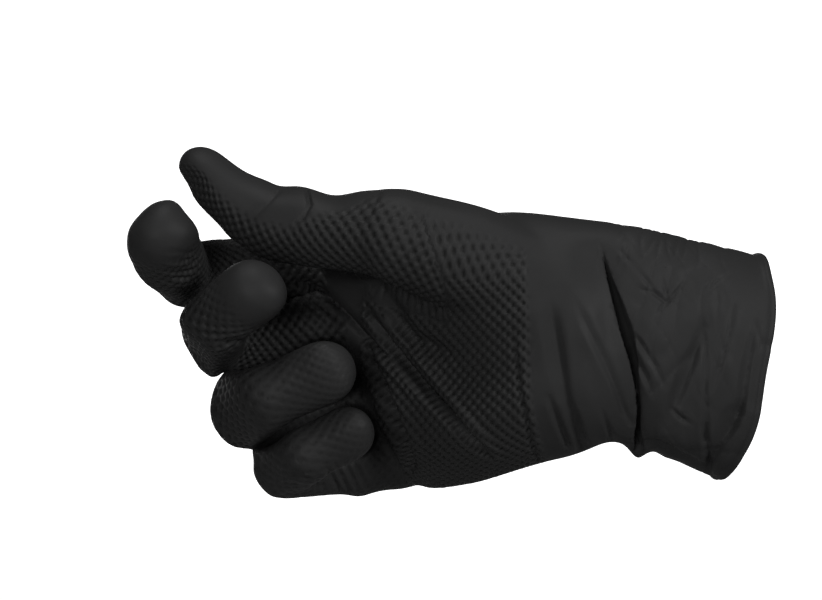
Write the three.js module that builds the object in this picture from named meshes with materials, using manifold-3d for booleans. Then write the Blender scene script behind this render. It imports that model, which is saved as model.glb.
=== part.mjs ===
// Nitrile exam glove, in the form it has on a right hand that closes round a slim bar.
// Millimetres, +Z up. The origin is the middle of the cuff's mouth, +X points out of
// the mouth, the palm faces -Y and the thumb lies on top. The glove is one dipped film,
// so it is one hollow body: an outer skin less the same skin set in by the film.
import * as THREE from 'three';
import { mergeVertices } from 'three/addons/utils/BufferGeometryUtils.js';
import Module from 'manifold-3d';

const wasm = await Module();
wasm.setup();

// Film and rim
const film = 1.2;
const rimRadius = 1.3;

// Cuff and palm
const cuffLength = 39;
const mouthWidth = 63;
const mouthDepth = 43;
const wristWidth = 62;
const wristDepth = 38;
const palmLength = 77;
const palmDepth = 33;
const palmSlope = 28;

// Stalls: the width across each, its length from knuckle to tip joint, and the gap
// that neighbouring stalls keep along the row of knuckles
const stallGap = 1.4;
const indexWidth = 18.4;
const indexLength = 79;
const middleWidth = 18.8;
const middleLength = 83;
const ringWidth = 18.4;
const ringLength = 81.5;
const littleWidth = 16.4;
const littleLength = 67;
const thumbWidth = 27;
const thumbLength = 110;

const radians = THREE.MathUtils.degToRad;

// The row of knuckles is as long as the four stalls side by side. Each is a little wider
// at its root than along its length.
const rootGirth = 1.02;
const knuckleRow = rootGirth * (indexWidth + middleWidth + ringWidth + littleWidth) + 3 * stallGap;
const palmReach = palmLength * Math.cos(radians(palmSlope));
const palmDrop = palmLength * Math.sin(radians(palmSlope));

// Sections of the body from mouth to knuckles. x, y, z is the middle of a section, lean
// turns its top towards the fingers and yaw turns its palm side towards the mouth.
const sections = [
  { name: 'mouth', x: 0, y: 0, z: 0, width: mouthWidth, depth: mouthDepth, lean: -12, yaw: 15 },
  {
    name: 'cuff',
    x: -0.5 * cuffLength,
    y: -0.12 * cuffLength,
    z: 0.095 * wristWidth,
    width: wristWidth,
    depth: 1.08 * wristDepth,
    lean: -5,
    yaw: 9,
  },
  {
    name: 'wrist',
    x: -cuffLength,
    y: -0.21 * wristDepth,
    z: 0.15 * wristWidth,
    width: 1.02 * wristWidth,
    depth: wristDepth,
    lean: 4,
    yaw: 2,
  },
  {
    name: 'heel',
    x: -cuffLength - 0.25 * palmReach,
    y: -0.21 * wristDepth + 0.08 * palmDrop,
    z: 0.125 * wristWidth,
    width: 0.9 * knuckleRow,
    depth: 1.08 * palmDepth,
    lean: 8,
    yaw: -8,
  },
  {
    name: 'palm',
    x: -cuffLength - 0.5 * palmReach,
    y: -0.21 * wristDepth + 0.29 * palmDrop,
    z: 0.065 * knuckleRow,
    width: 0.93 * knuckleRow,
    depth: palmDepth,
    lean: 12,
    yaw: -18,
  },
  {
    name: 'upper_palm',
    x: -cuffLength - 0.75 * palmReach,
    y: -0.21 * wristDepth + 0.6 * palmDrop,
    z: 0.04 * knuckleRow,
    width: 0.97 * knuckleRow,
    depth: 0.86 * palmDepth,
    lean: 16,
    yaw: -26,
  },
  {
    name: 'knuckles',
    x: -cuffLength - palmReach,
    y: -0.21 * wristDepth + 0.97 * palmDrop,
    z: 0.035 * knuckleRow,
    width: 0.95 * knuckleRow,
    depth: 0.61 * palmDepth,
    lean: 20,
    yaw: -22,
  },
];
const sectionSquareness = 2.35;
const knuckleDome = 0.16 * palmDepth;

// Forms of the palm side: a path in shares of the cuff's length along and of half the
// wrist's width across; how far it sinks or, below zero, swells, as a share of the palm's
// depth; and the half width that it fades over, as a share of the wrist's width
const forms = [
  { name: 'thumb_pad', path: [[-1.4, 0.5], [-2.1, 0.8]], sink: -0.167, spread: 0.24 },
  { name: 'heel_pad', path: [[-1.35, -0.3], [-2.05, -0.6]], sink: -0.15, spread: 0.21 },
  { name: 'palm_hollow', path: [[-2.3, 0.3], [-2.05, -0.05]], sink: 0.12, spread: 0.145 },
  {
    name: 'wrist_fold',
    path: [[-1.06, 0.98], [-0.97, 0.6], [-0.84, 0], [-0.78, -0.8]],
    sink: 0.127,
    spread: 0.068,
  },
  { name: 'wrist_pleat', path: [[-1.38, 0.5], [-1.33, -0.2], [-1.24, -0.66]], sink: 0.055, spread: 0.065 },
  { name: 'cuff_star', path: [[-0.72, 0.62], [-0.44, 0.72]], sink: 0.055, spread: 0.065 },
  { name: 'cuff_drape', path: [[-0.31, 0.32], [-0.5, -0.45]], sink: 0.06, spread: 0.065 },
];

// Stretches of each stall between its joints, as shares of its length; the aims are
// degrees towards the palm side from straight ahead, and degrees upward. The girths are
// the skin's radii at the knuckle and the joints, as shares of half the stall's width.
const stalls = [
  {
    name: 'index',
    width: indexWidth,
    length: indexLength,
    shares: [0.525, 0.295, 0.18],
    aims: [[17, -6.5], [78, 12], [80, 28]],
    girths: [rootGirth, 1.0, 1.02, 1.02],
  },
  {
    name: 'middle',
    width: middleWidth,
    length: middleLength,
    shares: [0.485, 0.32, 0.195],
    aims: [[14, -6], [93, 13], [134, 30]],
    girths: [rootGirth, 1.0, 1.01, 0.99],
  },
  {
    name: 'ring',
    width: ringWidth,
    length: ringLength,
    shares: [0.49, 0.31, 0.2],
    aims: [[20, -6], [110, 10], [168, 23]],
    girths: [rootGirth, 1.0, 1.01, 0.98],
  },
  {
    name: 'little',
    width: littleWidth,
    length: littleLength,
    shares: [0.52, 0.29, 0.19],
    aims: [[25, -4.5], [108, 13], [175, 27]],
    girths: [rootGirth, 1.0, 0.99, 0.95],
  },
];
const thumb = {
  name: 'thumb',
  width: thumbWidth,
  length: thumbLength,
  shares: [0.455, 0.325, 0.22],
  aims: [[0, 20], [-18, 6], [-10, 33]],
  girths: [1.15, 0.98, 0.8, 0.6],
};

// Where the thumb starts, between the wrist and the heel of the palm
const thumbRoot = { along: 0.433, up: 0.17, front: 0.13 };

// Each later stretch starts a little inside the joint before it.
const jointTuck = 0.92;

// Facets
const bodySides = 36;
const bodyRings = 25;
const domeRings = 2;
const stallSides = 14;
const capRings = 3;
const hollowSides = 9;
const hollowCapRings = 2;
const rimRings = 4;

// Curves through the sections, all with the same share along the body
const middles = new THREE.CatmullRomCurve3(sections.map((row) => new THREE.Vector3(row.x, row.y, row.z)));
const spans = new THREE.CatmullRomCurve3(sections.map((row) => new THREE.Vector3(row.width, row.depth, 0)));
const turns = new THREE.CatmullRomCurve3(sections.map((row) => new THREE.Vector3(row.lean, row.yaw, 0)));

// The section at a share of the body's length: its middle, half sizes and directions
function sectionAt(along) {
  const middle = middles.getPoint(along);
  const span = spans.getPoint(along);
  const turn = turns.getPoint(along);
  const lean = radians(turn.x);
  const yaw = radians(turn.y);
  return {
    middle,
    halfWidth: 0.5 * span.x,
    halfDepth: 0.5 * span.y,
    up: new THREE.Vector3(-Math.sin(lean), 0, Math.cos(lean)),
    back: new THREE.Vector3(-Math.sin(yaw), Math.cos(yaw), 0),
    ahead: middles.getTangent(along),
  };
}

function squircle(value) {
  return Math.sign(value) * Math.abs(value) ** (2 / sectionSquareness);
}

// A closed skin over a sphere's mesh: each row of the mesh is one ring of the shape, and
// the first and last rows are its two ends.
function skin(sides, rows) {
  const geometry = new THREE.SphereGeometry(1, sides, rows.length - 1);
  const { position, uv } = geometry.attributes;
  for (let i = 0; i < position.count; i += 1) {
    const row = Math.round((1 - uv.getY(i)) * (rows.length - 1));
    const side = Math.round(uv.getX(i) * sides) % sides;
    const place = rows[row]((2 * Math.PI * side) / sides);
    position.setXYZ(i, place.x, place.y, place.z);
  }
  return solid(geometry);
}

function solid(geometry) {
  geometry.deleteAttribute('normal');
  geometry.deleteAttribute('uv');
  const merged = mergeVertices(geometry);
  const vertProperties = Float32Array.from(merged.attributes.position.array);
  const triVerts = Uint32Array.from(merged.index.array);
  return new wasm.Manifold(new wasm.Mesh({ numProp: 3, vertProperties, triVerts }));
}

// Distance from a point to a path, both in the plane of X and Z
function distanceToPath(x, z, path) {
  let nearest = Infinity;
  for (let i = 1; i < path.length; i += 1) {
    const [ax, az] = path[i - 1];
    const [bx, bz] = path[i];
    const square = (bx - ax) ** 2 + (bz - az) ** 2;
    const share = THREE.MathUtils.clamp(((x - ax) * (bx - ax) + (z - az) * (bz - az)) / square, 0, 1);
    nearest = Math.min(nearest, Math.hypot(x - ax - share * (bx - ax), z - az - share * (bz - az)));
  }
  return nearest;
}

const formPaths = forms.map((form) => ({
  ...form,
  path: form.path.map(([along, across]) => [along * cuffLength, 0.5 * across * wristWidth]),
  depth: form.sink * palmDepth,
  fade: form.spread * wristWidth,
}));

// Presses the forms into a point of the palm side; facing is 1 where the skin faces -Y.
function pressForms(point, facing) {
  let depth = 0;
  for (const form of formPaths) {
    const away = distanceToPath(point.x, point.z, form.path) / form.fade;
    depth += form.depth * Math.exp(-away * away);
  }
  point.y += depth * facing;
}

// A ring of the body at a share of its length, set in by inset and moved by shift
// towards the mouth
function bodyRing(along, inset, shift, squeeze = 1) {
  const { middle, halfWidth, halfDepth, up, back, ahead } = sectionAt(along);
  const centre = middle.clone().addScaledVector(ahead, -shift);
  return (angle) => {
    const rise = -squircle(Math.cos(angle)) * (halfWidth - inset) * squeeze;
    const reach = squircle(Math.sin(angle)) * (halfDepth - inset) * squeeze;
    const point = centre.clone().addScaledVector(up, rise).addScaledVector(back, reach);
    const facing = THREE.MathUtils.smoothstep(-Math.sin(angle), 0.05, 0.6) * squeeze;
    pressForms(point, facing);
    return point;
  };
}

function endPoint(along, shift) {
  const { middle, ahead } = sectionAt(along);
  const point = middle.clone().addScaledVector(ahead, -shift);
  return () => point;
}

// Rows of the body's far end, a dome past the knuckles
function domeRows(inset) {
  const rows = [];
  for (let i = 1; i <= domeRings; i += 1) {
    const angle = (0.5 * Math.PI * i) / (domeRings + 1);
    rows.push(bodyRing(1, inset, -(knuckleDome - inset) * Math.sin(angle), Math.cos(angle)));
  }
  rows.push(endPoint(1, -(knuckleDome - inset)));
  return rows;
}

// The body with its rolled rim at the mouth
function bodySkin() {
  const rows = [endPoint(0, 0)];
  for (let i = 0; i <= rimRings; i += 1) {
    const angle = (Math.PI * i) / rimRings;
    rows.push(bodyRing(0, -rimRadius * Math.sin(angle), -rimRadius * (1 - Math.cos(angle))));
  }
  for (let i = 1; i <= bodyRings; i += 1) {
    const past = (2 * rimRadius) / cuffLength / (sections.length - 1);
    rows.push(bodyRing(past + ((1 - past) * i) / bodyRings, 0, 0));
  }
  rows.push(...domeRows(0));
  return skin(bodySides, rows);
}

// The body's hollow, which runs out past the mouth so that it cuts the mouth open
function bodyHollow() {
  const clear = 4 * rimRadius;
  const rows = [endPoint(0, clear), bodyRing(0, film, clear)];
  for (let i = 0; i <= bodyRings; i += 1) {
    rows.push(bodyRing(i / bodyRings, film, 0));
  }
  rows.push(...domeRows(film));
  return skin(bodySides, rows);
}

// A stretch of a stall: a round skin over two balls
function stretch(from, to, fromRadius, toRadius, sides, rings) {
  const axis = to.clone().sub(from);
  const lift = Math.asin(THREE.MathUtils.clamp((fromRadius - toRadius) / axis.length(), -0.9, 0.9));
  axis.normalize();
  const across = new THREE.Vector3(0, 0, 1).cross(axis).normalize();
  const beside = new THREE.Vector3().crossVectors(axis, across);
  const rows = [];
  const ballRow = (centre, radius, angle) => (turn) => centre.clone()
    .addScaledVector(axis, -radius * Math.cos(angle))
    .addScaledVector(across, -radius * Math.sin(angle) * Math.cos(turn))
    .addScaledVector(beside, radius * Math.sin(angle) * Math.sin(turn));
  const edge = 0.5 * Math.PI + lift;
  for (let i = 0; i <= rings; i += 1) {
    rows.push(ballRow(from, fromRadius, (edge * i) / rings));
  }
  for (let i = 0; i <= rings; i += 1) {
    rows.push(ballRow(to, toRadius, edge + ((Math.PI - edge) * i) / rings));
  }
  return skin(sides, rows);
}

function aim([towardsPalm, rise]) {
  const turn = radians(towardsPalm);
  const lift = radians(rise);
  const level = Math.cos(lift);
  return new THREE.Vector3(-Math.cos(turn) * level, -Math.sin(turn) * level, Math.sin(lift));
}

// Joints of a stall from its root to its tip
function jointsOf(stall, root) {
  const joints = [root];
  stall.shares.forEach((share, i) => {
    const next = joints[i].clone().addScaledVector(aim(stall.aims[i]), share * stall.length);
    joints.push(next);
  });
  return joints;
}

// Roots of the four stalls, side by side along the row of knuckles
function knuckles() {
  const { middle, up } = sectionAt(1);
  let top = 0.5 * knuckleRow;
  return stalls.map((stall) => {
    const across = rootGirth * stall.width;
    const root = middle.clone().addScaledVector(up, top - 0.5 * across);
    top -= across + stallGap;
    return root;
  });
}

function thumbStart() {
  const { middle, halfWidth, halfDepth, up, back } = sectionAt(thumbRoot.along);
  return middle.clone()
    .addScaledVector(up, 2 * thumbRoot.up * halfWidth)
    .addScaledVector(back, -2 * thumbRoot.front * halfDepth);
}

const roots = knuckles();
const chains = stalls.map((stall, i) => ({ ...stall, joints: jointsOf(stall, roots[i]) }));
const thumbChain = { ...thumb, joints: jointsOf(thumb, thumbStart()) };

// The web from the thumb to the index stall: struts side by side, each from a share of
// the thumb's first stretch to a share of the way from palm to knuckle
const web = [
  { thumbShare: 0.45, palmShare: 0.3 },
  { thumbShare: 0.72, palmShare: 0.6 },
  { thumbShare: 1, palmShare: 0.9 },
];
const webRadii = { thumb: 0.38 * thumbWidth, palm: 0.42 * indexWidth };
const palmSection = sectionAt(0.62);
const palmTop = palmSection.middle.clone()
  .addScaledVector(palmSection.up, 0.68 * palmSection.halfWidth)
  .addScaledVector(palmSection.back, -0.25 * palmSection.halfDepth);

// Every stretch of every stall, and the web, with the skin set in by inset
function stretches(inset, sides, rings) {
  const made = [];
  for (const { joints, girths, width } of [...chains, thumbChain]) {
    const radii = girths.map((girth) => 0.5 * girth * width - inset);
    for (let i = 1; i < joints.length; i += 1) {
      const start = i === 1 ? radii[0] : radii[i - 1] * jointTuck;
      made.push(stretch(joints[i - 1], joints[i], start, radii[i], sides, rings));
    }
  }
  const [thumbFoot, thumbJoint] = thumbChain.joints;
  for (const { thumbShare, palmShare } of web) {
    const from = thumbFoot.clone().lerp(thumbJoint, thumbShare);
    const to = palmTop.clone().lerp(roots[0], palmShare);
    made.push(stretch(from, to, webRadii.thumb - inset, webRadii.palm - inset, sides, rings));
  }
  return made;
}

function join(first, rest) {
  return rest.reduce((whole, piece) => whole.add(piece), first);
}

function geometryOf(manifold) {
  const { vertProperties, triVerts } = manifold.getMesh();
  const geometry = new THREE.BufferGeometry();
  geometry.setAttribute('position', new THREE.BufferAttribute(Float32Array.from(vertProperties), 3));
  geometry.setIndex(new THREE.BufferAttribute(Uint32Array.from(triVerts), 1));
  geometry.computeVertexNormals();
  return geometry;
}

const outer = join(bodySkin(), stretches(0, stallSides, capRings));
const hollow = join(bodyHollow(), stretches(film, hollowSides, hollowCapRings));
const shell = outer.subtract(hollow);

const nitrile = new THREE.MeshStandardMaterial({ color: 0x1d1d1e, roughness: 0.62, metalness: 0 });
const glove = new THREE.Mesh(geometryOf(shell), nitrile);
glove.name = 'glove';

const part = new THREE.Group();
part.add(glove);

export default part;
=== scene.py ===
import math

import bmesh
import bpy
import numpy as np
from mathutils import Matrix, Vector
from mathutils.bvhtree import BVHTree
from mathutils.noise import noise as perlin


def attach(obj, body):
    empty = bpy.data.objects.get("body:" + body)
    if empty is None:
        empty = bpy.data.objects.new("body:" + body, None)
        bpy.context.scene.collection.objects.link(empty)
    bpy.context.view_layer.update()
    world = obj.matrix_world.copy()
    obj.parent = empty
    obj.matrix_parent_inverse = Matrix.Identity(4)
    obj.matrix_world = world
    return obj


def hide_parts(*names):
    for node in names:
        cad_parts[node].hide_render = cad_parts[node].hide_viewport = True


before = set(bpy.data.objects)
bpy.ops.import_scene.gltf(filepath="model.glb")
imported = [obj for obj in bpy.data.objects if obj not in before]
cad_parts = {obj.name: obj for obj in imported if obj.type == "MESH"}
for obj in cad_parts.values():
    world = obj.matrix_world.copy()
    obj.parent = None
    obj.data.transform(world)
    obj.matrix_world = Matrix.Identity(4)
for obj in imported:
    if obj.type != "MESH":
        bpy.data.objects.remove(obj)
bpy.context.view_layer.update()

# Everything below is in millimetres; meshes are scaled to metres when they are written
MM = 0.001

# Photograph: size of a pixel, and the pixel that shows the origin
PIXEL = 0.28
ORIGIN_PIXEL = (743.5, 367.5)
PHOTO_SIZE = (822, 600)

# Film: its thickness, the mesh that it is made on, how far it grows back after smoothing,
# the stub that closes its mouth meanwhile, and the share of its triangles that is kept
FILM = 1.0
VOXEL = 0.5
WELD = 0.0001
SMOOTH_PASSES = 110
REGROWTH = 0.35
MOUTH_STUB = 12
KEPT_SHARE = 0.3
INNER_SHARE = 0.04

# Rolled rim: where the film ends and the bead starts, behind the mouth's plane; the bead's
# radius and how far its middle lies inside the film; where its curl starts and how far it
# goes round, in degrees; the neighbours each way that give the rim's direction, and the
# passes that even it out
RIM_START = 3.2
BEAD_RADIUS = 1.2
BEAD_INSET = 0.35
BEAD_FROM = 28
BEAD_SWEEP = 262
BEAD_STEPS = 11
BEAD_SPAN = 3
BEAD_EASE = 12

# Driving sizes of the glove
CUFF_LENGTH = 39
PALM_LENGTH = 77
PALM_SLOPE = math.radians(28)
MOUTH_LEAN = math.radians(12)
MOUTH_YAW = math.radians(15)
KNUCKLE_LEAN = math.radians(20)
KNUCKLE_YAW = math.radians(22)
ROOT_GIRTH = 1.02
STALL_GAP = 1.4
PALM_REACH = PALM_LENGTH * math.cos(PALM_SLOPE)

# Stalls from thumb side to little side: width, length, shares of it between the joints,
# aims in degrees towards the palm and upward, diamonds of the grip that go round, the
# plain length at the tip, and the share of the grip's height that the stretched front keeps
STALLS = {
    "index": {
        "width": 18.4,
        "length": 79,
        "shares": (0.525, 0.295, 0.18),
        "aims": ((17, -6.5), (78, 12), (80, 28)),
        "around": 17,
        "plain": 12,
        "front": 0.9,
    },
    "middle": {
        "width": 18.8,
        "length": 83,
        "shares": (0.485, 0.32, 0.195),
        "aims": ((14, -6), (93, 13), (134, 30)),
        "around": 17,
        "plain": 14,
        "front": 1,
    },
    "ring": {
        "width": 18.4,
        "length": 81.5,
        "shares": (0.49, 0.31, 0.2),
        "aims": ((20, -6), (110, 10), (168, 23)),
        "around": 17,
        "plain": 4,
        "front": 0.35,
    },
    "little": {
        "width": 16.4,
        "length": 67,
        "shares": (0.52, 0.29, 0.19),
        "aims": ((25, -4.5), (108, 13), (175, 27)),
        "around": 15,
        "plain": 3,
        "front": 0.35,
    },
}

# The thumb tapers, so its width is a middle one
THUMB = {
    "width": 24,
    "length": 110,
    "shares": (0.455, 0.325, 0.22),
    "aims": ((0, 20), (-18, 6), (-10, 33)),
    "around": 21,
    "plain": 2,
    "front": 1,
}
THUMB_ROOT = (-49, -11.3, 18.9)

# Where the stalls' stretched fronts start and are in full, along X in mm
STRETCHED = (-143, -134)

# Middle lines of the stalls: times that their corners are cut, points that are kept, the
# slack in mm past their ends, and how many places are compared with them at a time
CORNER_CUTS = 4
PATH_POINTS = 90
PATH_SLACK = 1
BATCH = 8192

# Middle line of the body from mouth to knuckles: its place along the cuff's and the palm's
# length, in depth and in height, and its half width and half depth, all in mm
BODY = [
    {"name": "mouth", "x": 0, "y": 0, "z": 0, "half": (31.5, 21.5)},
    {"name": "cuff", "x": -0.5 * CUFF_LENGTH, "y": -4.7, "z": 5.9, "half": (31, 20.5)},
    {"name": "wrist", "x": -CUFF_LENGTH, "y": -8, "z": 9.3, "half": (31.6, 19)},
    {"name": "heel", "x": -CUFF_LENGTH - 0.25 * PALM_REACH, "y": -5.1, "z": 7.8, "half": (34.3, 17.8)},
    {"name": "palm", "x": -CUFF_LENGTH - 0.5 * PALM_REACH, "y": 2.5, "z": 5, "half": (35.4, 16.5)},
    {"name": "upper", "x": -CUFF_LENGTH - 0.75 * PALM_REACH, "y": 13.7, "z": 3, "half": (37, 14.2)},
    {"name": "knuckles", "x": -CUFF_LENGTH - PALM_REACH, "y": 27, "z": 2.7, "half": (36.2, 10)},
]

# How far the palm's lattice runs on past the knuckles
KNUCKLE_REACH = 3

# Grip: the diamonds' pitch along the glove, how many go round the palm, their relief from
# pit to top, the share of it on the back, and the share of it that sinks into the film
PITCH = 3.15
BODY_AROUND = 56
RELIEF = 0.65
BACK_RELIEF = 0.25
FILM_LEVEL = 0.6

# Distances in mm over which the grip fades: where two lattices meet, at its end towards the
# cuff, towards the back, and each way of where a stall's plain tip starts
SEAM_FADE = (0.1, 1.2)
END_FADE = (-1, 1.6)
BACK_FADE = (-1, 5)
TIP_FADE = 6

# The lattice's steps for each pitch of film, from where it is smeared to where it is even,
# from even to crammed, the most that are counted, and the passes that blur the result
TOO_WIDE = (0.2, 0.4)
TOO_TIGHT = (2.4, 3.4)
MOST_STEPS = 4
EVEN_PASSES = 6

# How strongly the thumb keeps its own side of THUMB_START, and the reach of that in mm
THUMB_HOLD = 4
THUMB_NEAR = 3

# Where the grip ends towards the cuff, where it fades towards the back, and where the
# thumb's own lattice starts, all in pixels of the photograph
GRIP_END = [(528, 180), (524, 274), (526, 344), (529, 405), (540, 457), (548, 490)]
BACK_EDGE = [
    (150, 150), (185, 164), (201, 178), (229, 198), (250, 215), (288, 224), (305, 212),
    (343, 204), (374, 194), (400, 203), (440, 220), (480, 233), (530, 250),
]
THUMB_START = [(390, 150), (396, 205), (414, 250), (446, 320)]

# Spots that the grip leaves plain: place and radius in pixels, and how flat they are
SPOT_FLATNESS = 1.6
PLAIN_SPOTS = [
    {"name": "thumb_web", "x": 352, "y": 292, "radius": 14},
    {"name": "web_strip", "x": 382, "y": 322, "radius": 11},
    {"name": "little_pleats", "x": 348, "y": 478, "radius": 17},
]

# Moves of the film's form, in pixels of the photograph: place, radius, and how far it
# moves right and down
PULLS = [
    {"name": "thumb_tip", "x": 176, "y": 162, "radius": 12, "move": (1, 0)},
    {"name": "thumb_pad", "x": 184, "y": 190, "radius": 24, "move": (11, -8)},
    {"name": "thumb_ball", "x": 232, "y": 238, "radius": 14, "move": (-3, 2)},
    {"name": "thumb_back", "x": 246, "y": 164, "radius": 28, "move": (0, 6)},
    {"name": "thumb_neck", "x": 334, "y": 188, "radius": 24, "move": (0, 8)},
    {"name": "thumb_corner", "x": 283, "y": 184, "radius": 14, "move": (0, 2)},
    {"name": "hand_back", "x": 486, "y": 204, "radius": 54, "move": (0, -6)},
    {"name": "cuff_top", "x": 706, "y": 243, "radius": 30, "move": (0, 3)},
    {"name": "mouth_top", "x": 768, "y": 262, "radius": 28, "move": (-6, 1)},
    {"name": "mouth_side", "x": 774, "y": 335, "radius": 42, "move": (3, 0)},
    {"name": "mouth_low", "x": 754, "y": 430, "radius": 50, "move": (8, 0)},
    {"name": "mouth_foot", "x": 712, "y": 480, "radius": 16, "move": (0, 2)},
    {"name": "index_crown", "x": 136, "y": 212, "radius": 20, "move": (4, 3)},
    {"name": "index_top", "x": 184, "y": 206, "radius": 16, "move": (-4, 3)},
    {"name": "index_side", "x": 194, "y": 234, "radius": 16, "move": (5, 0)},
    {"name": "index_low", "x": 131, "y": 260, "radius": 14, "move": (-3, 0)},
    {"name": "index_under", "x": 162, "y": 302, "radius": 22, "move": (1, -1)},
    {"name": "middle_low", "x": 188, "y": 356, "radius": 20, "move": (8, -4)},
    {"name": "middle_side", "x": 182, "y": 320, "radius": 12, "move": (-3, 0)},
    {"name": "middle_bottom", "x": 222, "y": 371, "radius": 14, "move": (0, 4)},
    {"name": "ring_top", "x": 228, "y": 383, "radius": 18, "move": (-4, -8)},
    {"name": "middle_foot", "x": 213, "y": 372, "radius": 9, "move": (0, 3.5)},
    {"name": "middle_seam", "x": 230, "y": 368, "radius": 7, "move": (0, 3)},
    {"name": "ring_seam", "x": 230, "y": 377, "radius": 7, "move": (0, -4)},
    {"name": "ring_low", "x": 236, "y": 440, "radius": 18, "move": (-1, 5)},
    {"name": "ring_heel", "x": 262, "y": 440, "radius": 16, "move": (0, 8)},
    {"name": "little_top", "x": 262, "y": 448, "radius": 14, "move": (-7, -3)},
    {"name": "ring_foot", "x": 265, "y": 444, "radius": 7, "move": (0, 2)},
    {"name": "little_seam", "x": 262, "y": 454, "radius": 8, "move": (-2, -5)},
    {"name": "little_side", "x": 256, "y": 474, "radius": 16, "move": (-4, 0)},
    {"name": "little_low", "x": 272, "y": 492, "radius": 14, "move": (-1, 2)},
    {"name": "little_root", "x": 360, "y": 492, "radius": 14, "move": (0, 4)},
    {"name": "palm_corner", "x": 430, "y": 488, "radius": 20, "move": (0, 4)},
    {"name": "palm_low", "x": 546, "y": 464, "radius": 56, "move": (0, -6)},
    {"name": "wrist_low", "x": 612, "y": 447, "radius": 22, "move": (0, -5)},
    {"name": "wrist_tuck", "x": 636, "y": 452, "radius": 9, "move": (0, 9)},
    {"name": "cuff_notch", "x": 655, "y": 455, "radius": 8, "move": (0, -3)},
]

# Swells of the film: place and radius in pixels, and height in mm. They rise along the
# film's normal, or where front is true towards the viewer and on the front alone.
SWELLS = [
    {"name": "finger_pads", "x": 322, "y": 322, "radius": 38, "rise": 8, "front": True},
    {"name": "finger_pads_low", "x": 372, "y": 408, "radius": 38, "rise": 5.5, "front": True},
    {"name": "finger_roots", "x": 298, "y": 300, "radius": 26, "rise": 1.6, "front": False},
    {"name": "middle_ring_seam", "x": 232, "y": 370, "radius": 13, "rise": 0.7, "front": False},
    {"name": "ring_little_seam", "x": 266, "y": 446, "radius": 13, "rise": 0.8, "front": False},
]

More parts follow.
